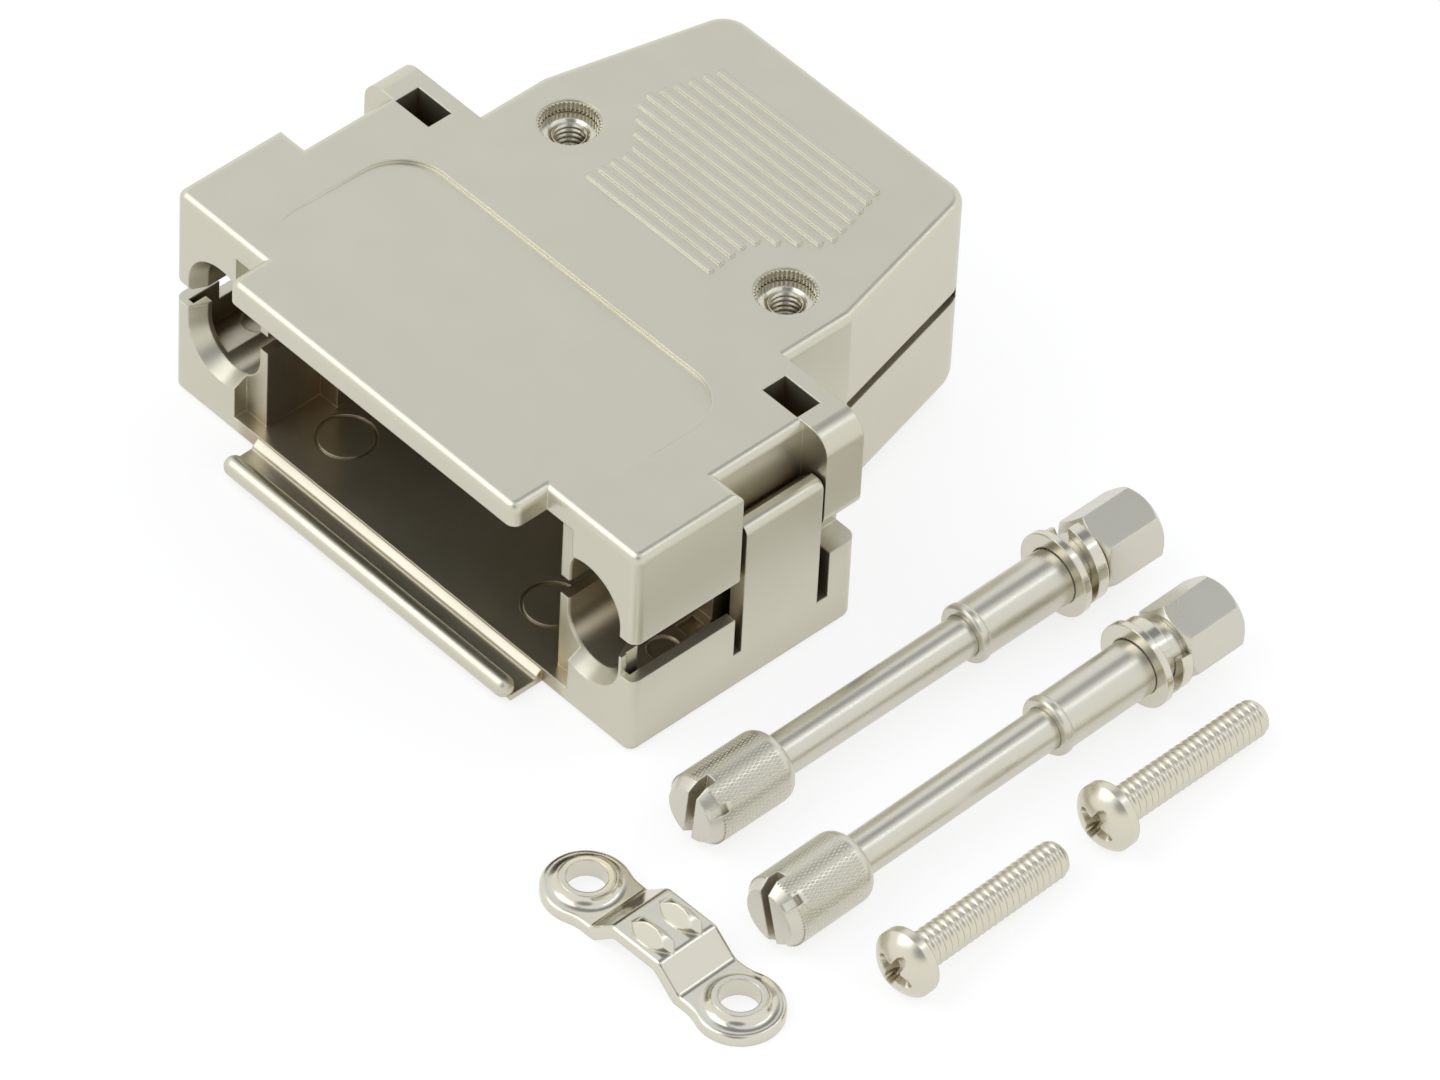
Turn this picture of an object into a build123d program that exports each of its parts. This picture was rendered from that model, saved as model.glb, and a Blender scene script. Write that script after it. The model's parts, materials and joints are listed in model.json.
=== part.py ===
"""Two-part metal-finish hood for a 15-way D-sub connector, with its loose hardware beside it.

Frame: X across the hood, Y from the connector end to the cable end, Z up, with the origin in the
middle of the hood's underside, which is level with the table under the loose hardware.
The pieces are built with the connector face at y = 0 and moved into the frame at the end.
All sizes are in millimetres.
"""
from build123d import *
import os
from math import asin, atan, atan2, cos, degrees, radians, sin

# Hood as a whole. The pitch of the two jackscrews is fixed by the connector and sets the width.
jack_spacing = 33.32
jack_x = jack_spacing / 2
hood_half_width = jack_x + 4.34
hood_height = 16.6
hood_length = 36.9
parting_z = 8.3
jack_z = 8.2
floor_thickness = 1.3
roof_thickness = 1.4
top_rounding = 0.6
front_corner_radius = 0.7

# Corner blocks, latch recess and rear ears
block_end = 8.6
recess_end = 15.5
recess_wall_x = hood_half_width - 2.2
ear_end = 18.5
upper_block_z = 9.0
lower_block_z = 7.5
lower_ear_z = 6.6
side_wall_z = 6.0
left_wall_start = 3.0
ear_step_x = jack_x + 2.4
ear_top_radius = 1.6
ear_low_radius = 1.2
block_low_radius = 0.4

# Narrow body behind the ears
body_half_width = jack_x - 2.66
taper_start = 24.0
rear_half_width = 10.9
body_wall = 1.5
rear_corner_radius = 2.0
body_under_radius = 2.2
cable_hole_radius = 4.5
side_gap_height = 0.9
side_gap_depth = 0.9

# Connector opening and the chamber behind it
opening_half_width = jack_x - 1.36
seat_depth = 1.0
chamber_half_width = opening_half_width - 1.9
chamber_step_y = 5.4
inner_half_width = opening_half_width - 3.5
chamber_end = 16.5
front_wall = 1.5
front_skin = 0.5
lip_half_width = opening_half_width - 2.3
top_lip_reach = 2.7
lip_low_z = 14.9
ring_mark_x = inner_half_width - 2.3
ring_mark_y = 4.1
ring_mark_radius = 2.0
ring_mark_depth = 0.12

# Lip under the connector: a thin plate with a round bead along its front
under_lip_half_width = opening_half_width - 2.25
under_lip_low_z = 0.15
under_lip_top_z = 0.6
under_lip_step_z = 0.8
under_lip_step = 0.45
bead_radius = 0.7
bead_y = -2.5
bead_z = 0.9

# Jackscrew openings, channels and rear guide holes
hole_radius = 3.05
hole_inner_radius = 2.35
hole_stretch = 3.4
channel_radius = 2.5
guide_radius = 1.7
ear_wall = 1.1
trough_floor_z = jack_z - 4
trough_mark_x = jack_x + 1.95
trough_mark_y = 4.8
trough_mark_radius = 1.05
trough_mark_depth = 0.15
trough_pocket_x = jack_x + 1.6
trough_pocket_y = 7.3
trough_pocket_width = 1.05
trough_pocket_length = 1.4
trough_pocket_depth = 0.5
window_half_width = 1.55

# Latch arms on the lower shell and the catches they hold
arm_start = 9.05
arm_end = 15.3
arm_thickness = 1.2
arm_top_z = 13.3
arm_root_z = 2.9
arm_slot_end = 16.2
hook_reach = 0.85
hook_low_z = 11.6
hook_lead = 1.0
catch_top_z = 11.5
latch_clearance = 0.15

# Threaded inserts and the screw bosses under them
insert_x = body_half_width - 4.2
insert_y = 22.4
insert_radius = 1.95
insert_length = 5.0
insert_depth = 0.9
insert_bore_radius = 1.05
recess_radius = 2.05
boss_radius = 3.0
screw_hole_radius = 1.4
screw_seat_radius = 2.7
screw_seat_z = 3.0

# Grip ribs and label panel on the top face
rib_count = 14
rib_width = 0.42
rib_height = 0.15
rib_first_y = 20.1
rib_last_y = 32.5
rib_field = [(19.0, 5.7), (23.6, 5.3), (27.2, 8.6), (29.6, 8.0), (33.0, 7.0)]
panel_half_length = opening_half_width - 0.4
panel_start = 3.0
panel_end = 13.5
panel_corner = 3.5
panel_depth = 0.25

# Jackscrew: slotted thumb screw and threaded sleeve with a hexagon end
jack_head_radius = 2.4
jack_head_length = 6.9
jack_head_chamfer = 0.8
jack_head_shoulder = 0.9
jack_slot_width = 0.7
jack_slot_depth = 1.5
jack_notch_width = 0.6
jack_notch_depth = 0.45
jack_notch_turn = 40
jack_rod_radius = 1.4
jack_rod_end = 27.0
jack_bore_clearance = 0.02

# Sleeve of the jackscrew, along +Y from its open end
sleeve_radius = 1.9
sleeve_lip_radius = 2.02
sleeve_lip_length = 0.7
sleeve_bore_depth = 5.0
sleeve_length = 14.8
hex_length = 4.6
hex_across_flats = 4.7
hex_chamfer = 0.4
hex_turn = 44.5
hex_bore_radius = 1.15
hex_bore_depth = 5.5

# Washers on the sleeve, held against the hexagon
washer_bore_radius = 1.95
flat_washer_radius = 2.9
flat_washer_thickness = 0.5
spring_washer_radius = 2.65
spring_washer_thickness = 0.85
spring_washer_pitch = 1.2
washer_gap = 0.05

# Clamp screws
screw_radius = 1.2
screw_length = 13.3
screw_tip_chamfer = 0.35
screw_head_radius = 2.25
screw_head_height = 1.75
screw_rim_height = 0.6
screw_cross_width = 0.8
screw_cross_length = 2.9
screw_cross_depth = 1.15
screw_cross_taper = 14

# Cable clamp
clamp_spacing = 13.05
clamp_ring_radius = 2.85
clamp_rim_rounding = 0.3
clamp_collar_radius = 1.7
clamp_collar_foot = 2.4
clamp_collar_height = 1.35
clamp_hole_radius = 1.3
clamp_thickness = 0.75
clamp_width = 4.9
clamp_waist_radius = 3.0
clamp_arch_height = 1.5
clamp_arch_half = 2.05
clamp_arch_foot = 3.75
clamp_bend_radius = 0.6
clamp_tooth_length = 3.6
clamp_tooth_width = 1.7
clamp_tooth_height = 0.95
clamp_tooth_pitch = 2.3
clamp_tooth_shift = 0.25

# Places of the loose pieces on the table: X, Y and turn from the +Y direction.
# A jackscrew also has the start of its sleeve, the turn of its split washer and the roll of its head.
jack_places = [(28.67, -2.2, 0.0, 22.5, 115.0, -5.0), (37.86, -4.3, 0.8, 23.0, 40.0, 14.0)]
screw_places = [(44.97, 17.2, 3.7), (45.77, -0.1, 4.7)]
clamp_place = (34.19, -9.35, 1.5)

outside_x = hood_half_width + 1
above_z = hood_height + 2
roof_z = hood_height - roof_thickness
hex_start = sleeve_length - hex_length
spring_washer_reach = spring_washer_thickness + 0.94 * spring_washer_pitch
spring_washer_start = hex_start - washer_gap - spring_washer_reach
flat_washer_start = spring_washer_start - washer_gap - flat_washer_thickness


def span(x0, x1, y0, y1, z0, z1):
    """Box between two corners."""
    return Pos((x0 + x1) / 2, (y0 + y1) / 2, (z0 + z1) / 2) * Box(x1 - x0, y1 - y0, z1 - z0)


def both(solid):
    """A solid together with its mirror image across the hood."""
    return solid + mirror(solid, Plane.YZ)


def prism(points, z0, z1):
    """Extrusion of a half outline mirrored across the hood."""
    outline = points + [(-x, y) for x, y in reversed(points)]
    return Pos(0, 0, z0) * extrude(make_face(Polyline(*outline, close=True)), z1 - z0)


def rod(radius, y0, y1, x=0, z=0):
    """Cylinder along Y."""
    return Pos(x, (y0 + y1) / 2, z) * Rot(90, 0, 0) * Cylinder(radius, y1 - y0)


def upright(radius, z0, z1, x=0, y=0):
    """Cylinder along Z."""
    return Pos(x, y, (z0 + z1) / 2) * Cylinder(radius, z1 - z0)


def level_edges(solid, z, keep):
    """Edges lying at one height whose centre passes a test."""
    found = []
    for edge in solid.edges():
        box = edge.bounding_box()
        if abs(box.min.Z - z) < 1e-4 and abs(box.max.Z - z) < 1e-4 and keep(edge.center()):
            found.append(edge)
    return found


def taper_x(y):
    """Half width of the body at a distance along the hood."""
    if y <= taper_start:
        return body_half_width
    return body_half_width - (body_half_width - rear_half_width) * (y - taper_start) / (hood_length - taper_start)


def body_outline():
    return [
        (body_half_width, taper_start),
        (rear_half_width, hood_length),
    ]


def round_rear(shell):
    """Round the two upright corners at the cable end."""
    corners = [e for e in shell.edges().filter_by(Axis.Z) if e.center().Y > hood_length - 0.1]
    return fillet(corners, rear_corner_radius)


def jack_slot(radius, y0, y1, taper=0):
    """Tall slot around one jackscrew axis, narrowing towards the back by the taper angle."""
    face = Plane(origin=(jack_x, y0, jack_z), x_dir=(0, 0, 1), z_dir=(0, 1, 0))
    return extrude(face * SlotOverall(2 * radius + hole_stretch, 2 * radius), y1 - y0, taper=taper)


def jack_space():
    """Funnels, channels and guide holes around the two jackscrew axes."""
    funnel_angle = degrees(atan2(hole_radius - hole_inner_radius, front_wall))
    funnel = jack_slot(hole_radius, 0, front_wall, funnel_angle)
    channel = jack_slot(channel_radius, front_wall - 0.4, block_end)
    guide = rod(guide_radius, block_end - 1, ear_end + 1, jack_x, jack_z)
    return both(funnel + channel + guide)


def inner_space(z0, z1, opening_z):
    """Connector seat, chamber and body cavity between two heights."""
    seat = span(-opening_half_width, opening_half_width, -0.1, seat_depth, z0, opening_z)
    front = span(-chamber_half_width, chamber_half_width, -0.1, chamber_step_y, z0, opening_z)
    middle = span(-inner_half_width, inner_half_width, chamber_step_y - 0.1, chamber_end, z0, z1)
    back = hood_length - body_wall
    body = prism(
        [
            (body_half_width - body_wall, chamber_end - 0.5),
            (body_half_width - body_wall, taper_start),
            (taper_x(back) - body_wall, back),
        ],
        z0,
        z1,
    )
    cable = rod(cable_hole_radius, back - 1, hood_length + 1, 0, parting_z)
    return seat + front + middle + body + cable


def upper_ear():
    """Rear ear of the upper shell, rounded at its outer edges."""
    ear = span(body_half_width - 1, hood_half_width, recess_end, ear_end, upper_block_z, hood_height)
    outer = [e for e in ear.edges().filter_by(Axis.Y) if e.center().X > hood_half_width - 0.1]
    outer = sorted(outer, key=lambda e: e.center().Z)
    ear = fillet(outer[-1], ear_top_radius)
    outer = [e for e in ear.edges().filter_by(Axis.Y) if e.center().X > hood_half_width - 0.1]
    outer = sorted(outer, key=lambda e: e.center().Z)
    return fillet(outer[0], ear_low_radius)


def side_gaps():
    """Gap left between the shells along both tapered sides."""
    end = hood_length - 0.8
    side = make_face(
        Polyline(
            (body_half_width - side_gap_depth, taper_start),
            (body_half_width + 1, taper_start),
            (taper_x(end) + 1, end),
            (taper_x(end) - side_gap_depth, end),
            close=True,
        )
    )
    return both(Pos(0, 0, parting_z - 0.1) * extrude(side, side_gap_height + 0.1))


def label_panel():
    """Shallow panel cut that starts level with the top face at the front and deepens backwards."""
    tilt = degrees(atan(panel_depth / (panel_end - panel_start)))
    length = panel_end - panel_start
    outline = Pos(0, length / 2 - 1) * RectangleRounded(2 * panel_half_length, length + 2, panel_corner)
    return Pos(0, panel_start, hood_height) * Rot(-tilt, 0, 0) * extrude(outline, 2)


def rib_half_length(y):
    """Half length of a grip rib, which follows the outline of the ribbed field."""
    for (y0, h0), (y1, h1) in zip(rib_field, rib_field[1:]):
        if y <= y1:
            return h0 + (h1 - h0) * (y - y0) / (y1 - y0)
    return rib_field[-1][1]


def upper_shell():
    outline = [
        (lip_half_width, -top_lip_reach),
        (lip_half_width, 0),
        (hood_half_width, 0),
        (hood_half_width, block_end),
        (recess_wall_x, block_end),
        (recess_wall_x, recess_end + 1.5),
        (body_half_width, recess_end + 1.5),
    ] + body_outline()
    shell = round_rear(prism(outline, parting_z, hood_height))
    front = [e for e in shell.edges().filter_by(Axis.Z) if e.center().Y < 0.1]
    front = [e for e in front if e.center().Y < -1 or abs(e.center().X) > hood_half_width - 0.1]
    shell = fillet(front, front_corner_radius)
    shell = fillet(level_edges(shell, hood_height, lambda c: True), top_rounding)
    shell += both(upper_ear())

    # Room for the lower shell, the connector and the latch arms
    shell -= both(span(inner_half_width, outside_x, -1, recess_end, 0, upper_block_z))
    shell -= span(-lip_half_width - 1, lip_half_width + 1, -top_lip_reach - 1, 0, 0, lip_low_z)
    low_edges = level_edges(shell, upper_block_z, lambda c: abs(c.X) > hood_half_width - 0.1 and c.Y < block_end)
    shell = fillet(low_edges, 0.35)

    # Catches under the latch hooks
    catch_x = hood_half_width - arm_thickness - latch_clearance
    shell += both(span(recess_wall_x - 0.3, catch_x, block_end - 0.1, recess_end + 0.1, upper_block_z, catch_top_z))

    shell -= inner_space(0, roof_z, lip_low_z)
    shell -= jack_space()
    shell -= both(
        span(
            jack_x - window_half_width,
            jack_x + window_half_width,
            recess_end,
            ear_end - ear_wall,
            0,
            hood_height + 1,
        )
    )
    shell -= side_gaps()

    shell += both(upright(boss_radius, parting_z, roof_z + 0.1, insert_x, insert_y))
    shell -= both(upright(insert_radius, parting_z - 1, hood_height + 1, insert_x, insert_y))
    shell -= both(upright(recess_radius, hood_height - insert_depth, hood_height + 1, insert_x, insert_y))

    shell -= label_panel()
    for i in range(rib_count):
        y = rib_first_y + (rib_last_y - rib_first_y) * i / (rib_count - 1)
        half = rib_half_length(y)
        low, high = y - rib_width / 2, y + rib_width / 2
        shell += span(-half, half, low, high, hood_height - 0.3, hood_height + rib_height)
    return shell


def latch():
    """Latch arm with its inward hook, on the right side."""
    inner = hood_half_width - arm_thickness
    arm = span(inner, hood_half_width, arm_start, arm_end, arm_root_z - 0.5, arm_top_z)
    arm += span(inner - hook_reach, hood_half_width - 0.3, arm_start, arm_end, hook_low_z, arm_top_z)
    tops = [e for e in arm.edges().filter_by(Axis.Y) if e.center().Z > arm_top_z - 0.01]
    outer = max(tops, key=lambda e: e.center().X)
    arm = fillet(outer, 0.6)
    tops = [e for e in arm.edges().filter_by(Axis.Y) if e.center().Z > arm_top_z - 0.01]
    inner_top = min(tops, key=lambda e: e.center().X)
    return chamfer(inner_top, hook_lead)


def under_lip():
    """Lip below the connector opening: plate, sloped root and a bead with round ends."""
    half = under_lip_half_width
    plate = span(-half, half, bead_y, 0.5, under_lip_low_z, under_lip_top_z)
    root = make_face(
        Plane.YZ
        * Polyline(
            (0.5, under_lip_low_z),
            (-under_lip_step, under_lip_low_z),
            (-under_lip_step, under_lip_step_z),
            (0, floor_thickness - 0.1),
            (0.5, floor_thickness - 0.1),
            close=True,
        )
    )
    plate += extrude(root, half, both=True)
    straight = half - bead_radius
    bead = Pos(0, bead_y, bead_z) * Rot(0, 90, 0) * Cylinder(bead_radius, 2 * straight)
    for x in (-straight, straight):
        bead += Pos(x, bead_y, bead_z) * Sphere(bead_radius)
    return plate + bead


def lower_shell():
    outline = [
        (hood_half_width, 0),
        (hood_half_width, ear_end),
        (body_half_width, ear_end),
    ] + body_outline()
    shell = round_rear(prism(outline, 0, parting_z))
    corners = [e for e in shell.edges().filter_by(Axis.Z) if abs(e.center().X) > hood_half_width - 0.1]
    shell = fillet([e for e in corners if e.center().Y > 1], 0.8)
    corners = [e for e in shell.edges().filter_by(Axis.Z) if abs(e.center().X) > hood_half_width - 0.1]
    shell = fillet([e for e in corners if e.center().Y < 0.1], front_corner_radius)
    shell = fillet(level_edges(shell, 0, lambda c: c.Y > ear_end + 0.1), body_under_radius)
    shell = fillet(level_edges(shell, 0, lambda c: abs(c.X) > hood_half_width - 0.1), block_low_radius)

    # Blocks and ears stop below the upper shell
    shell -= both(span(inner_half_width, outside_x, -1, recess_end, lower_block_z, above_z))
    shell -= both(span(ear_step_x, outside_x, recess_end - 1, ear_end + 1, lower_ear_z, above_z))

    # Latch arms between their two slots
    pocket_x = jack_x + guide_radius + 0.4
    shell -= both(span(pocket_x, outside_x, block_end - 0.2, arm_slot_end, arm_root_z, above_z))
    shell += both(latch())

    # Side walls are lower beside the channels, along more of the right side than of the left
    wall_x = hood_half_width - 1.1
    shell -= span(wall_x, outside_x, -1, block_end, side_wall_z, above_z)
    shell -= span(-outside_x, -wall_x, left_wall_start, block_end, side_wall_z, above_z)
    trough_x = hood_half_width - 0.8
    shell -= both(span(jack_x, trough_x, front_wall, block_end, trough_floor_z, above_z))
    ring_x = jack_x + hole_radius + 0.05
    shell -= both(span(ring_x, trough_x, front_skin, front_wall + 0.1, trough_floor_z, above_z))
    mark_z = trough_floor_z - trough_mark_depth
    shell -= both(upright(trough_mark_radius, mark_z, trough_floor_z + 1, trough_mark_x, trough_mark_y))
    pocket = Box(trough_pocket_width, trough_pocket_length, 2 * trough_pocket_depth)
    shell -= both(Pos(trough_pocket_x, trough_pocket_y, trough_floor_z) * pocket)

    shell -= inner_space(floor_thickness, above_z, above_z)
    shell -= jack_space()
    shell -= both(
        span(
            jack_x - window_half_width,
            jack_x + window_half_width,
            recess_end,
            ear_end - ear_wall,
            jack_z - guide_radius - 1,
            above_z,
        )
    )

    shell += both(upright(boss_radius, 0.5, parting_z, insert_x, insert_y))
    shell -= both(upright(screw_hole_radius, -1, above_z, insert_x, insert_y))
    shell -= both(upright(screw_seat_radius, -1, screw_seat_z, insert_x, insert_y))
    ring_z = floor_thickness - ring_mark_depth
    ring = upright(ring_mark_radius, ring_z, above_z, ring_mark_x, ring_mark_y)
    ring -= upright(ring_mark_radius - 0.2, 0, above_z, ring_mark_x, ring_mark_y)
    shell -= both(ring)
    return shell + under_lip()


def threaded_insert():
    """Threaded insert of the upper shell, on the right side."""
    top = hood_height - insert_depth
    body = upright(insert_radius, top - insert_length, top, insert_x, insert_y)
    body -= upright(insert_bore_radius, 0, above_z, insert_x, insert_y)
    mouth = [e for e in body.edges() if abs(e.center().Z - top) < 1e-4 and e.length < 7.5]
    return chamfer(mouth, 0.3)


def thumb_screw():
    """Slotted head and plain rod of a jackscrew, along +Y from the end of the head."""
    head = rod(jack_head_radius, 0, jack_head_length)
    rims = head.edges().filter_by(GeomType.CIRCLE)
    head = chamfer(rims.sort_by(Axis.Y)[0], jack_head_chamfer, 0.7 * jack_head_chamfer)
    head = fillet(head.edges().filter_by(GeomType.CIRCLE).sort_by(Axis.Y)[-1], jack_head_shoulder)
    body = head + rod(jack_rod_radius, 1, jack_rod_end)
    body -= span(-jack_slot_width / 2, jack_slot_width / 2, -1, jack_slot_depth, -5, 5)
    reach = jack_head_radius - jack_notch_depth
    half = jack_notch_width / 2
    notch = span(reach, jack_head_radius + 1, -1, jack_notch_depth + jack_head_chamfer, -half, half)
    return body - Rot(0, -jack_notch_turn, 0) * notch


def hex_sleeve():
    """Sleeve that takes the end of the thumb screw, with a hexagon end tapped for the connector."""
    corner = hex_across_flats / (2 * cos(radians(30)))
    end = Plane(origin=(0, hex_start, 0), x_dir=(1, 0, 0), z_dir=(0, 1, 0))
    hexagon = RegularPolygon(hex_across_flats / 2, 6, major_radius=False, rotation=-hex_turn)
    block = extrude(end * hexagon, hex_length)
    envelope = rod(corner, hex_start, sleeve_length)
    envelope = chamfer(envelope.edges().filter_by(GeomType.CIRCLE), hex_chamfer, hex_chamfer)
    block = block & envelope
    body = block + rod(sleeve_radius, 0, hex_start + 0.5)
    lip = rod(sleeve_lip_radius, 0, sleeve_lip_length)
    body += fillet(lip.edges().filter_by(GeomType.CIRCLE), 0.25)
    body -= rod(jack_rod_radius + jack_bore_clearance, -1, sleeve_bore_depth)
    return body - rod(hex_bore_radius, sleeve_length - hex_bore_depth, sleeve_length + 1)


def flat_washer():
    low = flat_washer_start
    high = low + flat_washer_thickness
    ring = rod(flat_washer_radius, low, high) - rod(washer_bore_radius, low - 1, high + 1)
    return Pos(0, 0, washer_bore_radius - sleeve_radius) * ring


def split_washer(split_turn):
    """One turn of a rectangular wire around the sleeve, with the split at an angle from +X."""
    width = spring_washer_radius - washer_bore_radius
    middle = (spring_washer_radius + washer_bore_radius) / 2
    path = Helix(spring_washer_pitch, spring_washer_pitch * 0.94, middle, lefthand=True)
    start = Plane(origin=path @ 0, x_dir=(1, 0, 0), z_dir=path % 0)
    coil = sweep(start * Rectangle(width, spring_washer_thickness), path, is_frenet=True)
    turn = Rot(-90, 0, 0) * Rot(0, 0, -split_turn - 11)
    coil = Pos(0, spring_washer_start + spring_washer_thickness / 2, 0) * turn * coil
    return Pos(0, 0, sleeve_radius - washer_bore_radius) * coil


def clamp_screw():
    """Pan-head screw with a cross recess, along +Y from the underside of the head."""
    rise = screw_head_height - screw_rim_height
    radius = screw_head_radius
    profile = make_face(
        Polyline((0, 0), (0, -screw_head_height)).edges()
        + [
            ThreePointArc(
                (0, -screw_head_height),
                (0.62 * radius, -screw_rim_height - 0.66 * rise),
                (radius, -screw_rim_height),
            ),
            Line((radius, -screw_rim_height), (radius, 0)),
            Line((radius, 0), (0, 0)),
        ]
    )
    head = revolve(profile, Axis.Y)
    shank = rod(screw_radius, -0.5, screw_length)
    shank = chamfer(shank.edges().filter_by(GeomType.CIRCLE).sort_by(Axis.Y)[-1], screw_tip_chamfer)
    mouth = Plane(origin=(0, -screw_head_height, 0), x_dir=(1, 0, 0), z_dir=(0, 1, 0))
    cross = Rectangle(screw_cross_length, screw_cross_width) + Rectangle(screw_cross_width, screw_cross_length)
    cross = fillet(cross.vertices(), 0.18)
    recess = extrude(mouth * cross, screw_cross_depth, taper=screw_cross_taper)
    recess += extrude(mouth * cross, -1)
    return head + shank - Rot(0, 20, 0) * recess


def clamp_collar():
    """Drawn collar around a hole of the cable clamp, flaring out to the flat eyelet."""
    low = clamp_thickness
    middle = (0.35 * clamp_collar_foot + 0.65 * clamp_collar_radius, 0.7 * low + 0.3 * clamp_collar_height)
    profile = make_face(
        Polyline((clamp_collar_foot, low), (clamp_collar_foot, low / 2), (1, low / 2)).edges()
        + [
            Line((1, low / 2), (1, clamp_collar_height)),
            Line((1, clamp_collar_height), (clamp_collar_radius, clamp_collar_height)),
            ThreePointArc((clamp_collar_radius, clamp_collar_height), middle, (clamp_collar_foot, low)),
        ]
    )
    return revolve(Plane.XZ * profile, Axis.Z)


def clamp_tooth(x, y):
    """Gripping tooth on top of the arch: a sharp ridge that tapers to a point at both ends."""
    base = clamp_arch_height + clamp_thickness
    half = clamp_tooth_length / 2
    foot = clamp_tooth_width / 2
    height = clamp_tooth_height
    ridge = Plane.YZ * Polyline((-foot, -0.1), (foot, -0.1), (foot, 0), (0, height), (-foot, 0), close=True)
    ridge = extrude(make_face(ridge), half, both=True)
    plan_radius = (half**2 + foot**2) / (2 * foot)
    offset = plan_radius - foot
    plan = upright(plan_radius, -1, 1, 0, offset) & upright(plan_radius, -1, 1, 0, -offset)
    crest_radius = (half**2 + height**2) / (2 * height)
    crest = Plane.XZ * (Pos(0, height - crest_radius) * Circle(crest_radius))
    crest = extrude(crest, foot, both=True)
    return Pos(x, y, base) * (ridge & plan & crest)


def cable_clamp():
    """Arched strap between two eyelets with drawn collars, resting on the table."""
    half = clamp_spacing / 2
    ends = Pos(-half, 0) * Circle(clamp_ring_radius) + Pos(half, 0) * Circle(clamp_ring_radius)
    plan = ends + Rectangle(2 * half, clamp_width)
    plan = fillet(plan.vertices(), clamp_waist_radius)
    outline = extrude(plan, clamp_arch_height + 2 * clamp_thickness)

    end = half + clamp_ring_radius + 1
    lean = clamp_thickness * 0.45
    right = [
        (clamp_arch_half - lean, clamp_arch_height),
        (clamp_arch_foot - lean, 0),
        (end, 0),
        (end, clamp_thickness),
        (clamp_arch_foot, clamp_thickness),
        (clamp_arch_half, clamp_arch_height + clamp_thickness),
    ]
    left = [(-x, z) for x, z in reversed(right)]
    side = extrude(make_face(Plane.XZ * Polyline(*(right + left), close=True)), clamp_ring_radius + 1, both=True)
    bends = [e for e in side.edges().filter_by(Axis.Y) if abs(e.center().X) < end - 1]
    side = fillet(bends, clamp_bend_radius)
    strap = outline & side
    rims = [e for e in strap.edges().filter_by(GeomType.CIRCLE) if abs(e.center().X) > half]
    rims = [e for e in rims if abs(e.center().Z - clamp_thickness) < 0.05]
    strap = fillet(rims, clamp_rim_rounding)

    for x in (-half, half):
        strap += Pos(x, 0, 0) * clamp_collar()
        strap -= Pos(x, 0, 0) * upright(clamp_hole_radius, -1, above_z)
    for y in (-clamp_tooth_pitch / 2, clamp_tooth_pitch / 2):
        strap += clamp_tooth(clamp_tooth_shift, y)
    return strap


def jack_location(place):
    """Jackscrew at rest on the rim of its head and on the flat washer."""
    x, y, turn, sleeve_y, _, _ = place
    washer_z = flat_washer_radius - (washer_bore_radius - sleeve_radius)
    middle = sleeve_y + flat_washer_start + flat_washer_thickness / 2
    tilt = asin((washer_z - jack_head_radius) / (middle - jack_head_chamfer))
    start_z = jack_head_radius - jack_head_chamfer * sin(tilt)
    return Pos(x, y, start_z) * Rot(0, 0, turn) * Rot(degrees(tilt), 0, 0)


def screw_location(place):
    """Clamp screw at rest on the rim of its head and on its tip."""
    x, y, turn = place
    tilt = atan((screw_head_radius - screw_radius) / (screw_length - screw_tip_chamfer))
    return Pos(x, y, screw_head_radius * cos(tilt)) * Rot(0, 0, turn) * Rot(-degrees(tilt), 0, 0)


def main():
    pieces = {
        "upper_shell": upper_shell(),
        "lower_shell": lower_shell(),
        "insert_right": threaded_insert(),
        "insert_left": mirror(threaded_insert(), Plane.YZ),
    }
    for number, place in enumerate(jack_places, 1):
        at = jack_location(place)
        sleeve_at = at * Pos(0, place[3], 0)
        pieces[f"thumb_screw_{number}"] = at * Rot(0, -place[5], 0) * thumb_screw()
        pieces[f"hex_sleeve_{number}"] = sleeve_at * hex_sleeve()
        pieces[f"flat_washer_{number}"] = sleeve_at * flat_washer()
        pieces[f"split_washer_{number}"] = sleeve_at * split_washer(place[4])
    for number, place in enumerate(screw_places, 1):
        pieces[f"clamp_screw_{number}"] = screw_location(place) * clamp_screw()
    x, y, turn = clamp_place
    pieces["cable_clamp"] = Pos(x, y, 0) * Rot(0, 0, turn) * cable_clamp()

    os.makedirs("parts", exist_ok=True)
    for name, solid in pieces.items():
        solid = Pos(0, -hood_length / 2, 0) * solid
        solid.label = name
        export_step(solid, f"parts/{name}.step")


if __name__ == "__main__":
    main()
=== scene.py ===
"""Finish, threads, knurls, light and camera for a plated D-sub hood with its loose hardware."""

import json
import math

import bpy
from mathutils import Matrix, Vector

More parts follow.
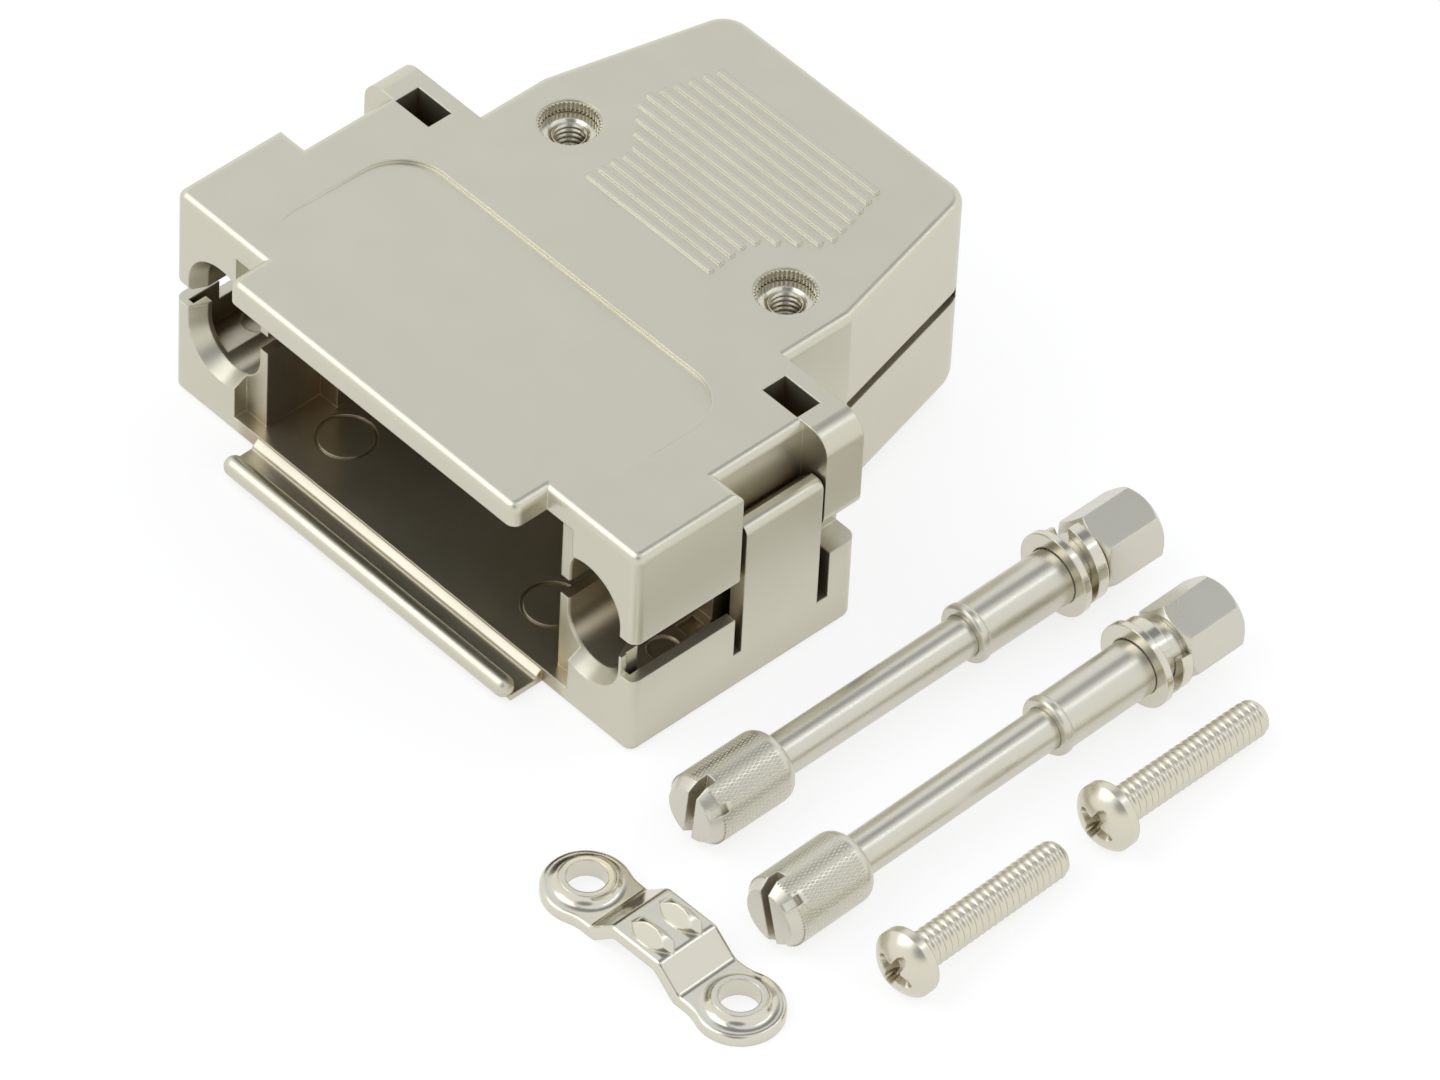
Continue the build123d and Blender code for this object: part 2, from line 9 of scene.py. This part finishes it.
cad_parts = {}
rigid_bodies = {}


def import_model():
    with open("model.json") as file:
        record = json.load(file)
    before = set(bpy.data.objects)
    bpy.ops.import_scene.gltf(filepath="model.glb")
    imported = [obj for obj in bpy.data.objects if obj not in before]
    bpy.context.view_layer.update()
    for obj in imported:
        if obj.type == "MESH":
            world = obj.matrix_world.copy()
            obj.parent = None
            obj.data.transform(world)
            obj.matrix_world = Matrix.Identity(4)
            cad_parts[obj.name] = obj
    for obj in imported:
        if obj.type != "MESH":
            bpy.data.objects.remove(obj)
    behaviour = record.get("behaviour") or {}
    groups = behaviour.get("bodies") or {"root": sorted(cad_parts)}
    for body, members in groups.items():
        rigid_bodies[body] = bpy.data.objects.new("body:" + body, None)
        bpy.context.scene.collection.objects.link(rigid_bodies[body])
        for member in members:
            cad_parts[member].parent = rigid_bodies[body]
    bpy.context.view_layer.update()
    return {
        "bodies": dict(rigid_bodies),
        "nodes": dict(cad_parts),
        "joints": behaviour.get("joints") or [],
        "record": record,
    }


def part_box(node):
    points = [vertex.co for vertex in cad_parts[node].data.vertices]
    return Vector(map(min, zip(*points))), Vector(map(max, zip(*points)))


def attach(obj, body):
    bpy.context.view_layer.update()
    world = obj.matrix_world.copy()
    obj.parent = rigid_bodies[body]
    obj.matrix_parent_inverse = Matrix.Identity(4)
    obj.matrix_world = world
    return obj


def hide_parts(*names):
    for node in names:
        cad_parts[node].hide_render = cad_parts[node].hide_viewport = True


# All lengths are in metres
MM = 0.001

# Clamp screws
SCREW_CREST = 1.25 * MM
SCREW_ROOT = 1.12 * MM
SCREW_PITCH = 0.55 * MM
SCREW_TIP = 0.25 * MM
SCREW_COLUMNS = 64
HEAD_HEIGHT = 1.75 * MM
HEAD_SEAM = 0.05 * MM
SHANK_SUNK = 0.3 * MM

# Threads inside the inserts and the hexagon ends
INSERT_BORE = 1.05 * MM
HEX_BORE = 1.15 * MM
HEX_THREAD_LENGTH = 5.0 * MM
HEX_PITCH = 0.55 * MM
INSERT_PITCH = 0.4 * MM
INNER_DEPTH = 0.14 * MM
INNER_COLUMNS = 48
INNER_GAP = 0.01 * MM
INNER_WALL = 0.06 * MM
INSERT_THREAD_START = 0.2 * MM
INSERT_THREAD_END = 0.1 * MM
HEX_THREAD_END = 0.3 * MM

# Rows of faces per turn of any thread, and its run-out as a share of the pitch
THREAD_STEPS = 12
THREAD_RUN_OUT = 0.6

# Fine teeth around the recess above each insert
RECESS_RADIUS = 2.05 * MM
RECESS_DEPTH = 0.9 * MM
RECESS_TEETH = 44
TOOTH_ROOT = RECESS_RADIUS - 0.02 * MM
TOOTH_TIP = RECESS_RADIUS - 0.2 * MM
TEETH_WALL = RECESS_RADIUS + 0.03 * MM
TEETH_ENDS = (0.05 * MM, RECESS_DEPTH - 0.12 * MM)

# Knurls on the heads of the jackscrews
KNURL_RADIUS = 2.4 * MM
KNURL_START = 0.85 * MM
KNURL_END = 5.85 * MM
KNURL_WIDTH = 0.24 * MM
KNURL_LENGTH = 0.55 * MM
KNURL_HEIGHT = 0.016 * MM
KNURL_SUNK = 0.02 * MM
KNURL_FILL = 0.47
SLOT_WIDTH = 0.7 * MM
SLOT_DEPTH = 1.5 * MM
NOTCH_WIDTH = 0.6 * MM
NOTCH_REACH = 1.25 * MM
NOTCH_ANGLE = 40.0
HEAD_ROLLS = {"1": -5.0, "2": 14.0}

# Surface of the plating, with the painted shade colours for the recesses of small pieces and of the
# hood
EDGE_RADIUS = 0.14 * MM
EDGE_SAMPLES = 6
CLOUD_SCALE = 300.0
WAVE_SCALE = 700.0
WAVE_DEPTH = 0.01 * MM
# Painted shade colours: the first for recesses of small pieces, the second for the hood and its
# chamber
PAINTED_RECESS_SHADE = (0.46, 0.37, 0.24)
PAINTED_DEEP_SHADE = (0.31, 0.225, 0.115)

# Openness at which the painted shade is darkest, and below which it is painted, in the chamber too
OPENNESS_SAMPLES = 8
CLOSED_LIMIT = 0.05
RECESS_LIMIT = 0.31
CHAMBER_LIMIT = 0.95
CHAMBER_CENTRE = (0.0, -12.2 * MM, 7.0 * MM)
CHAMBER_HALF = (14.0 * MM, 6.2 * MM, 6.4 * MM)

# Studio light: the sky's colours and levels, and where its darker parts lie
HORIZON = (0.98, 0.97, 0.95)
OVERHEAD = (0.90, 0.93, 1.0)
SKY_HEIGHTS = (0.3, 0.8)
SKY_STRENGTH = 1.05
STRIP_LEVEL = 0.3
STRIP_EDGES = (0.27, 0.32, 0.47, 0.53)
STRIP_HEIGHTS = (0.6, 0.75)
DARK_CORNER = (0.45, -0.55, 0.70)
DARK_CORNER_ANGLES = (24, 14)
DARK_CORNER_LEVEL = 0.3
LAMP_TARGET = (0.015, 0.0, 0.005)

# Floor, with the level at which the camera sees it and at which the metal mirrors it
FLOOR_GREY = 0.27
FLOOR_HALF = 3.0
FLOOR_DROP = 0.02 * MM
FLOOR_CAMERA_GLOW = 0.77
FLOOR_MIRROR_GLOW = 0.74

# Camera of the photograph
LENS = 304.887
CAMERA_PLACE = (0.38490734, -0.37343153, 0.53238038)
CAMERA_RIGHT = (0.6772353, 0.73481896, 0.03732878)
CAMERA_UP = (-0.54075237, 0.46268968, 0.70249921)
CAMERA_BACK = (0.4989381, -0.49594289, 0.71070488)


def chamber_shade_limit(nodes, links, place):
    """Openness below which a surface gets painted shade, higher inside the connector chamber so that
    the painted shade covers it there.
    """
    offset = nodes.new("ShaderNodeVectorMath")
    offset.operation = "SUBTRACT"
    offset.inputs[1].default_value = CHAMBER_CENTRE
    links.new(place.outputs["Object"], offset.inputs[0])
    distance = nodes.new("ShaderNodeVectorMath")
    distance.operation = "ABSOLUTE"
    links.new(offset.outputs["Vector"], distance.inputs[0])
    share = nodes.new("ShaderNodeVectorMath")
    share.operation = "DIVIDE"
    share.inputs[1].default_value = CHAMBER_HALF
    links.new(distance.outputs["Vector"], share.inputs[0])
    split = nodes.new("ShaderNodeSeparateXYZ")
    links.new(share.outputs["Vector"], split.inputs["Vector"])
    wider = nodes.new("ShaderNodeMath")
    wider.operation = "MAXIMUM"
    links.new(split.outputs["X"], wider.inputs[0])
    links.new(split.outputs["Y"], wider.inputs[1])
    widest = nodes.new("ShaderNodeMath")
    widest.operation = "MAXIMUM"
    links.new(wider.outputs["Value"], widest.inputs[0])
    links.new(split.outputs["Z"], widest.inputs[1])
    limit = nodes.new("ShaderNodeMapRange")
    limit.inputs["From Min"].default_value = 1.0
    limit.inputs["From Max"].default_value = 1.1
    limit.inputs["To Min"].default_value = CHAMBER_LIMIT
    limit.inputs["To Max"].default_value = RECESS_LIMIT
    links.new(widest.outputs["Value"], limit.inputs["Value"])
    return limit.outputs["Result"]


def paint_recess_shade(nodes, links, place, colour, recess, depth, chamber):
    """Output of nodes that give the colour outside and a painted shade colour deep inside, where
    ambient occlusion finds the surface closed in.
    """
    shade = nodes.new("ShaderNodeAmbientOcclusion")
    shade.samples = OPENNESS_SAMPLES
    shade.inputs["Distance"].default_value = depth
    level = nodes.new("ShaderNodeMapRange")
    level.inputs["From Min"].default_value = CLOSED_LIMIT
    level.inputs["From Max"].default_value = RECESS_LIMIT
    # Inside the chamber the painted shade reaches almost every surface
    if chamber:
        links.new(chamber_shade_limit(nodes, links, place), level.inputs["From Max"])
    links.new(shade.outputs["AO"], level.inputs["Value"])
    blend = nodes.new("ShaderNodeMix")
    blend.data_type = "RGBA"
    blend.inputs["A"].default_value = (*recess, 1.0)
    blend.inputs["B"].default_value = (*colour, 1.0)
    links.new(level.outputs["Result"], blend.inputs["Factor"])
    return blend.outputs["Result"]


def finish(name, colour, recess, depth, roughness, uneven, waves, metallic, chamber=False):
    """Satin metal plating with painted shade in recesses, a little uneven, with softly rounded
    edges.
    """
    material = bpy.data.materials.new(name)
    material.use_nodes = True
    nodes = material.node_tree.nodes
    links = material.node_tree.links
    shader = nodes["Principled BSDF"]
    shader.inputs["Metallic"].default_value = metallic

    place = nodes.new("ShaderNodeTexCoord")
    painted_shade = paint_recess_shade(nodes, links, place, colour, recess, depth, chamber)
    links.new(painted_shade, shader.inputs["Base Color"])
    cloud = nodes.new("ShaderNodeTexNoise")
    cloud.inputs["Scale"].default_value = CLOUD_SCALE
    cloud.inputs["Detail"].default_value = 3.0
    links.new(place.outputs["Object"], cloud.inputs["Vector"])
    gloss = nodes.new("ShaderNodeMapRange")
    gloss.inputs["From Min"].default_value = 0.3
    gloss.inputs["From Max"].default_value = 0.7
    gloss.inputs["To Min"].default_value = roughness - uneven
    gloss.inputs["To Max"].default_value = roughness + uneven
    links.new(cloud.outputs["Fac"], gloss.inputs["Value"])
    links.new(gloss.outputs["Result"], shader.inputs["Roughness"])

    wave = nodes.new("ShaderNodeTexNoise")
    wave.inputs["Scale"].default_value = WAVE_SCALE
    wave.inputs["Detail"].default_value = 1.0
    links.new(place.outputs["Object"], wave.inputs["Vector"])
    edge = nodes.new("ShaderNodeBevel")
    edge.samples = EDGE_SAMPLES
    edge.inputs["Radius"].default_value = EDGE_RADIUS
    relief = nodes.new("ShaderNodeBump")
    relief.inputs["Strength"].default_value = waves
    relief.inputs["Distance"].default_value = WAVE_DEPTH
    links.new(wave.outputs["Fac"], relief.inputs["Height"])
    links.new(edge.outputs["Normal"], relief.inputs["Normal"])
    links.new(relief.outputs["Normal"], shader.inputs["Normal"])
    return material


def make_finishes():
    """The five finishes of the plating, by name."""
    hood = finish(
        "hood_plating", (0.64, 0.615, 0.505), recess=PAINTED_DEEP_SHADE, depth=15 * MM,
        roughness=0.33, uneven=0.03, waves=0.2, metallic=0.93, chamber=True,
    )
    nickel = finish(
        "nickel", (0.67, 0.645, 0.55), recess=PAINTED_RECESS_SHADE, depth=2 * MM,
        roughness=0.28, uneven=0.02, waves=0.08, metallic=0.82,
    )
    # Lighter copy of the nickel for the knurls: painted brightness on the jackscrew heads
    knurled = finish(
        "knurled_nickel", (0.83, 0.80, 0.67), recess=PAINTED_RECESS_SHADE, depth=1 * MM,
        roughness=0.42, uneven=0.03, waves=0.08, metallic=0.75,
    )
    bright = finish(
        "bright_nickel", (0.69, 0.66, 0.555), recess=PAINTED_RECESS_SHADE, depth=1.5 * MM,
        roughness=0.17, uneven=0.03, waves=0.08, metallic=0.97,
    )
    screwed = finish(
        "screw_nickel", (0.70, 0.665, 0.55), recess=PAINTED_RECESS_SHADE, depth=1.5 * MM,
        roughness=0.26, uneven=0.03, waves=0.05, metallic=0.9,
    )
    return {"hood": hood, "nickel": nickel, "knurled": knurled, "bright": bright, "screw": screwed}


def make_piece(name, points, faces, material, sharp=40):
    """A mesh object of the part, smooth but for edges sharper than the given angle."""
    mesh = bpy.data.meshes.new(name)
    mesh.from_pydata(points, [], faces)
    mesh.validate()
    mesh.polygons.foreach_set("use_smooth", [True] * len(mesh.polygons))
    mesh.set_sharp_from_angle(angle=math.radians(sharp))
    piece = bpy.data.objects.new(name, mesh)
    bpy.context.scene.collection.objects.link(piece)
    mesh.materials.append(material)
    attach(piece, "root")
    return piece


def long_axis(node):
    """Where a turned piece starts, and its own frame with Y along it and Z as upright as it goes."""
    mesh = node.data
    centre = Vector()
    total = 0.0
    for face in mesh.polygons:
        centre += face.area * face.center
        total += face.area
    centre /= total
    spread = [[0.0] * 3 for _ in range(3)]
    for face in mesh.polygons:
        arm = face.center - centre
        for i in range(3):
            for j in range(3):
                spread[i][j] += face.area * arm[i] * arm[j]
    spread = Matrix(spread)
    along = Vector((0.0, 1.0, 0.0))
    for _ in range(60):
        along = (spread @ along).normalized()
    up = (Vector((0, 0, 1)) - along.z * along).normalized()
    across = along.cross(up)
    reach = [(v.co - centre).dot(along) for v in mesh.vertices]
    start = centre + min(reach) * along
    frame = Matrix((across, along, up)).transposed().to_4x4()
    frame.translation = start
    return frame, max(reach) - min(reach)


def helix_skin(base, height, pitch, start, end, columns):
    """Points, faces and both end rings of a screw thread's surface around Y.

    The rows of faces follow the helix. The thread fades into the base radius at both ends.
    """
    points = []
    faces = []
    index = {}
    run_out = THREAD_RUN_OUT * pitch
    steps = THREAD_STEPS

    def place(row, column):
        y = start + pitch * (row / steps - 1 + column / columns)
        y = min(max(y, start), end)
        key = (column, round(y * 1e9))
        if key not in index:
            fade = min(1.0, (y - start) / run_out, (end - y) / run_out)
            flank = 1.0 - abs(2.0 * (row % steps) / steps - 1.0)
            rise = flank * flank * (3.0 - 2.0 * flank)
            r = base + height * fade * rise
            angle = 2 * math.pi * column / columns
            index[key] = len(points)
            points.append((r * math.cos(angle), y, r * math.sin(angle)))
        return index[key]

    rows = (math.ceil((end - start) / pitch) + 2) * steps
    for row in range(rows):
        for column in range(columns):
            corners = [place(row, column), place(row + 1, column)]
            if column + 1 < columns:
                corners += [place(row + 1, column + 1), place(row, column + 1)]
            else:
                corners += [place(row + 1 + steps, 0), place(row + steps, 0)]
            face = tuple(dict.fromkeys(corners))
            if len(face) > 2:
                faces.append(face)
    first = [index[(column, round(start * 1e9))] for column in range(columns)]
    last = [index[(column, round(end * 1e9))] for column in range(columns)]
    return points, faces, first, last


def ring(radius, y, columns):
    """Points of one circle around Y."""
    circle = []
    for column in range(columns):
        angle = 2 * math.pi * column / columns
        circle.append((radius * math.cos(angle), y, radius * math.sin(angle)))
    return circle


def band(low, high):
    """Faces between two rings of points, seen from outside when high lies further along Y."""
    count = len(low)
    faces = []
    for i in range(count):
        after = (i + 1) % count
        faces.append((low[i], high[i], high[after], low[after]))
    return faces


def outer_thread(frame, start, end):
    """Closed threaded shank of a clamp screw, with a chamfered tip."""
    height = SCREW_CREST - SCREW_ROOT
    points, faces, first, last = helix_skin(
        SCREW_ROOT, height, SCREW_PITCH, start, end - SCREW_TIP, SCREW_COLUMNS
    )
    tip = list(range(len(points), len(points) + SCREW_COLUMNS))
    points += ring(SCREW_ROOT - SCREW_TIP, end, SCREW_COLUMNS)
    faces += band(last, tip)
    faces.append(tuple(first))
    faces.append(tuple(reversed(tip)))
    return [frame @ Vector(p) for p in points], faces


def inner_thread(name, frame, bore, pitch, start, end, material):
    """Closed ring with a thread inside, seated on the wall of a bore along the frame's Y."""
    columns = INNER_COLUMNS
    base = bore + INNER_GAP
    points, faces, first, last = helix_skin(base, -INNER_DEPTH, pitch, start, end, columns)
    faces = [tuple(reversed(face)) for face in faces]
    wall = bore + INNER_WALL
    low = list(range(len(points), len(points) + columns))
    points += ring(wall, start, columns)
    high = list(range(len(points), len(points) + columns))
    points += ring(wall, end, columns)
    faces += band(low, high)
    faces += band(first, low)
    faces += band(high, last)
    points = [frame @ Vector(p) for p in points]
    return make_piece(name, points, faces, material)


def serration(name, frame, material):
    """Ring of fine upright teeth on the wall of the recess above an insert."""
    count = 2 * RECESS_TEETH
    inner = (TOOTH_ROOT, TOOTH_TIP)
    points = []
    for y in TEETH_ENDS:
        for i in range(count):
            angle = 2 * math.pi * i / count
            points.append((inner[i % 2] * math.cos(angle), y, inner[i % 2] * math.sin(angle)))
    for y in TEETH_ENDS:
        points += ring(TEETH_WALL, y, count)
    low_in, high_in, low_out, high_out = [
        list(range(part * count, (part + 1) * count)) for part in range(4)
    ]
    faces = band(high_in, low_in)
    faces += band(low_out, high_out)
    faces += band(low_in, low_out)
    faces += band(high_out, high_in)
    points = [frame @ Vector(p) for p in points]
    return make_piece(name, points, faces, material, sharp=20)


def in_opening(angle, y, roll):
    """Whether a place on the head lies in the slot or the notch, or at their edges."""
    margin = 0.5 * KNURL_WIDTH
    end_margin = 0.6 * KNURL_LENGTH
    side = KNURL_RADIUS * math.cos(angle - roll)
    if y < SLOT_DEPTH + end_margin and abs(side) < SLOT_WIDTH / 2 + margin:
        return True
    from_notch = angle - roll - math.radians(NOTCH_ANGLE)
    beside = KNURL_RADIUS * math.sin(from_notch)
    near = math.cos(from_notch) > 0 and abs(beside) < NOTCH_WIDTH / 2 + margin
    return near and y < NOTCH_REACH + end_margin


def knurl(name, frame, roll, material):
    """Fine knurl of long small pyramids around the head of a jackscrew, open at slot and notch."""
    around = round(2 * math.pi * KNURL_RADIUS / KNURL_WIDTH)
    rows = round((KNURL_END - KNURL_START) / KNURL_LENGTH * 2)
    sunk = KNURL_RADIUS - KNURL_SUNK
    top = KNURL_RADIUS + KNURL_HEIGHT
    half = KNURL_FILL * 2 * math.pi / around
    reach = KNURL_FILL * KNURL_LENGTH
    points = []
    faces = []
    for row in range(rows + 1):
        y = KNURL_START + (KNURL_END - KNURL_START) * row / rows
        for column in range(around):
            angle = 2 * math.pi * (column + 0.5 * (row % 2)) / around
            if in_opening(angle, y, roll):
                continue
            first = len(points)
            for da, dy in ((-half, 0), (0, -reach), (half, 0), (0, reach)):
                points.append((sunk * math.cos(angle + da), y + dy, sunk * math.sin(angle + da)))
            points.append((top * math.cos(angle), y, top * math.sin(angle)))
            faces.append((first, first + 1, first + 2, first + 3))
            for i in range(4):
                faces.append((first + (i + 1) % 4, first + i, first + 4))
    points = [frame @ Vector(p) for p in points]
    return make_piece(name, points, faces, material, sharp=20)


def threaded_screw(name, node, material):
    """Clamp screw with the head of the solid and a real thread in place of its plain shank."""
    frame, length = long_axis(node)
    head_end = HEAD_HEIGHT - HEAD_SEAM
    back = frame.inverted()
    points = []
    index = {}
    kept = []
    for face in node.data.polygons:
        corners = []
        local = [back @ node.data.vertices[i].co for i in face.vertices]
        if max(p.y for p in local) > head_end + 2 * HEAD_SEAM:
            continue
        for p in local:
            key = (round(p.x * 1e7), round(p.y * 1e7), round(p.z * 1e7))
            if key not in index:
                index[key] = len(points)
                points.append(p)
            corners.append(index[key])
        if len(set(corners)) == len(corners):
            kept.append(tuple(corners))
    points = [frame @ p for p in points]
    shank_points, shank_faces = outer_thread(frame, head_end - SHANK_SUNK, length)
    first = len(points)
    points += shank_points
    kept += [tuple(first + i for i in face) for face in shank_faces]
    screw = make_piece(name, points, kept, material, sharp=35)
    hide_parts(node.name)
    return screw


def softbox(name, toward, distance, width, length, power):
    """Area lamp that faces the object from the given direction, its long side along Y."""
    data = bpy.data.lights.new(name, "AREA")
    data.shape = "RECTANGLE"
    data.size = width
    data.size_y = length
    data.energy = power
    lamp = bpy.data.objects.new(name, data)
    bpy.context.scene.collection.objects.link(lamp)
    back = Vector(toward).normalized()
    along = (Vector((0, 1, 0)) - back.y * back).normalized()
    across = along.cross(back)
    pose = Matrix((across, along, back)).transposed().to_4x4()
    pose.translation = Vector(LAMP_TARGET) + distance * back
    lamp.matrix_world = pose
    return lamp


def ramp_node(nodes, stops):
    """Colour ramp with the given positions and colours."""
    node = nodes.new("ShaderNodeValToRGB")
    elements = node.color_ramp.elements
    for _ in range(len(stops) - 2):
        elements.new(0.5)
    for element, (position, colour) in zip(elements, stops):
        element.position = position
        element.color = (*colour, 1.0)
    return node


def make_world():
    """Even pale surroundings, cooler overhead, with a darker strip and a dim corner."""
    world = bpy.data.worlds.new("studio")
    bpy.context.scene.world = world
    world.use_nodes = True
    nodes = world.node_tree.nodes
    links = world.node_tree.links
    sky = nodes["Background"]
    place = nodes.new("ShaderNodeTexCoord")
    split = nodes.new("ShaderNodeSeparateXYZ")
    links.new(place.outputs["Generated"], split.inputs["Vector"])
    height = ramp_node(nodes, tuple(zip(SKY_HEIGHTS, (HORIZON, OVERHEAD))))
    links.new(split.outputs["Z"], height.inputs["Fac"])
    sideways = nodes.new("ShaderNodeMapRange")
    sideways.inputs["From Min"].default_value = -1.0
    sideways.inputs["From Max"].default_value = 1.0
    links.new(split.outputs["X"], sideways.inputs["Value"])
    plain = (1, 1, 1)
    dark = (STRIP_LEVEL,) * 3
    strip = ramp_node(nodes, tuple(zip(STRIP_EDGES, (plain, dark, dark, plain))))
    links.new(sideways.outputs["Result"], strip.inputs["Fac"])
    above = nodes.new("ShaderNodeMapRange")
    above.inputs["From Min"].default_value = STRIP_HEIGHTS[0]
    above.inputs["From Max"].default_value = STRIP_HEIGHTS[1]
    links.new(split.outputs["Z"], above.inputs["Value"])
    blend = nodes.new("ShaderNodeMix")
    blend.data_type = "RGBA"
    blend.blend_type = "MULTIPLY"
    links.new(above.outputs["Result"], blend.inputs["Factor"])
    links.new(height.outputs["Color"], blend.inputs["A"])
    links.new(strip.outputs["Color"], blend.inputs["B"])
    toward = nodes.new("ShaderNodeVectorMath")
    toward.operation = "DOT_PRODUCT"
    toward.inputs[1].default_value = Vector(DARK_CORNER).normalized()
    links.new(place.outputs["Generated"], toward.inputs[0])
    corner = nodes.new("ShaderNodeMapRange")
    outer, inner = [math.cos(math.radians(angle)) for angle in DARK_CORNER_ANGLES]
    corner.inputs["From Min"].default_value = outer
    corner.inputs["From Max"].default_value = inner
    corner.inputs["To Min"].default_value = 1.0
    corner.inputs["To Max"].default_value = DARK_CORNER_LEVEL
    links.new(toward.outputs["Value"], corner.inputs["Value"])
    dimmed = nodes.new("ShaderNodeMix")
    dimmed.data_type = "RGBA"
    dimmed.blend_type = "MULTIPLY"
    dimmed.inputs["Factor"].default_value = 1.0
    links.new(blend.outputs["Result"], dimmed.inputs["A"])
    links.new(corner.outputs["Result"], dimmed.inputs["B"])
    links.new(dimmed.outputs["Result"], sky.inputs["Color"])
    sky.inputs["Strength"].default_value = SKY_STRENGTH


def make_floor():
    """Pale floor that keeps the shadow and shows as white to the camera and in the metal."""
    mesh = bpy.data.meshes.new("floor")
    half = FLOOR_HALF
    corners = [(-half, -half, 0), (half, -half, 0), (half, half, 0), (-half, half, 0)]
    mesh.from_pydata(corners, [], [(0, 1, 2, 3)])
    floor = bpy.data.objects.new("floor", mesh)
    floor.location.z = -FLOOR_DROP
    bpy.context.scene.collection.objects.link(floor)
    material = bpy.data.materials.new("floor")
    material.use_nodes = True
    nodes = material.node_tree.nodes
    links = material.node_tree.links
    nodes.remove(nodes["Principled BSDF"])
    paint = nodes.new("ShaderNodeBsdfDiffuse")
    paint.inputs["Color"].default_value = (FLOOR_GREY, FLOOR_GREY, FLOOR_GREY, 1.0)
    glow = nodes.new("ShaderNodeEmission")
    path = nodes.new("ShaderNodeLightPath")
    mirrored = nodes.new("ShaderNodeMath")
    mirrored.operation = "MAXIMUM"
    share = nodes.new("ShaderNodeMath")
    share.operation = "MULTIPLY"
    share.inputs[1].default_value = FLOOR_MIRROR_GLOW
    level = nodes.new("ShaderNodeMath")
    level.operation = "MULTIPLY_ADD"
    level.inputs[1].default_value = FLOOR_CAMERA_GLOW
    both = nodes.new("ShaderNodeAddShader")
    links.new(path.outputs["Is Glossy Ray"], mirrored.inputs[0])
    links.new(path.outputs["Is Transmission Ray"], mirrored.inputs[1])
    links.new(mirrored.outputs["Value"], share.inputs[0])
    links.new(path.outputs["Is Camera Ray"], level.inputs[0])
    links.new(share.outputs["Value"], level.inputs[2])
    links.new(level.outputs["Value"], glow.inputs["Strength"])
    links.new(paint.outputs["BSDF"], both.inputs[0])
    links.new(glow.outputs["Emission"], both.inputs[1])
    links.new(both.outputs["Shader"], nodes["Material Output"].inputs["Surface"])
    mesh.materials.append(material)
    return floor


def make_camera():
    """Camera at the photograph's place, for an image of 1440 by 1080."""
    data = bpy.data.cameras.new("camera")
    data.sensor_width = 36.0
    data.lens = LENS
    data.clip_start = 0.01
    data.clip_end = 20.0
    camera = bpy.data.objects.new("camera", data)
    bpy.context.scene.collection.objects.link(camera)
    axes = (Vector(CAMERA_RIGHT), Vector(CAMERA_UP), Vector(CAMERA_BACK))
    pose = Matrix(axes).transposed().to_4x4()
    pose.translation = CAMERA_PLACE
    camera.matrix_world = pose
    bpy.context.scene.camera = camera
    return camera


def dress_inserts(bright):
    """Thread inside each insert and the fine teeth around the recess above it."""
    for side in ("right", "left"):
        low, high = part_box("insert_" + side)
        middle = (low + high) / 2
        upright = Matrix.Rotation(math.radians(90), 4, "X")
        upright.translation = (middle.x, middle.y, low.z)
        name = "insert_thread_" + side
        start = INSERT_THREAD_START
        top = high.z - low.z - INSERT_THREAD_END
        inner = inner_thread(name, upright, INSERT_BORE, INSERT_PITCH, start, top, bright)
        rim = upright.copy()
        rim.translation.z = high.z
        serration("insert_teeth_" + side, rim, bright)


def dress_hardware(nodes, finishes):
    """Threads in the hexagons, knurls on the heads and threaded clamp screws."""
    nickel = finishes["nickel"]
    knurled = finishes["knurled"]
    for number in ("1", "2"):
        sleeve_frame, length = long_axis(nodes["hex_sleeve_" + number])
        name = "hex_thread_" + number
        low = length - HEX_THREAD_LENGTH
        top = length - HEX_THREAD_END
        inner = inner_thread(name, sleeve_frame, HEX_BORE, HEX_PITCH, low, top, nickel)
        head_frame, _ = long_axis(nodes["thumb_screw_" + number])
        roll = math.radians(HEAD_ROLLS[number])
        knurl("knurl_" + number, head_frame, roll, knurled)
        plain = nodes["clamp_screw_" + number]
        screw = threaded_screw("threaded_screw_" + number, plain, finishes["screw"])


def main():
    """Dress the loaded solids, light them and set up the camera."""
    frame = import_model()
    nodes = frame["nodes"]
    scene = bpy.context.scene
    scene.view_settings.view_transform = "Standard"

    finishes = make_finishes()
    nickel = finishes["nickel"]
    bright = finishes["bright"]
    by_slot = {"hood": finishes["hood"], "insert": bright, "jackscrew": nickel, "sleeve": nickel}
    by_slot.update({"washer": bright, "screw": finishes["screw"], "clamp": bright})
    for node in nodes.values():
        slot = node.data.materials[0].name.split(".")[0]
        node.data.materials[0] = by_slot[slot]
    dress_inserts(bright)
    dress_hardware(nodes, finishes)

    floor = make_floor()
    make_world()
    lamps = [
        softbox("key", (-0.36, -0.5, 0.79), distance=0.7, width=0.5, length=0.5, power=1.2),
        softbox("edge_light", (0.31, 0.50, 0.81), distance=0.8, width=0.06, length=0.5, power=0.19),
    ]
    camera = make_camera()


main()
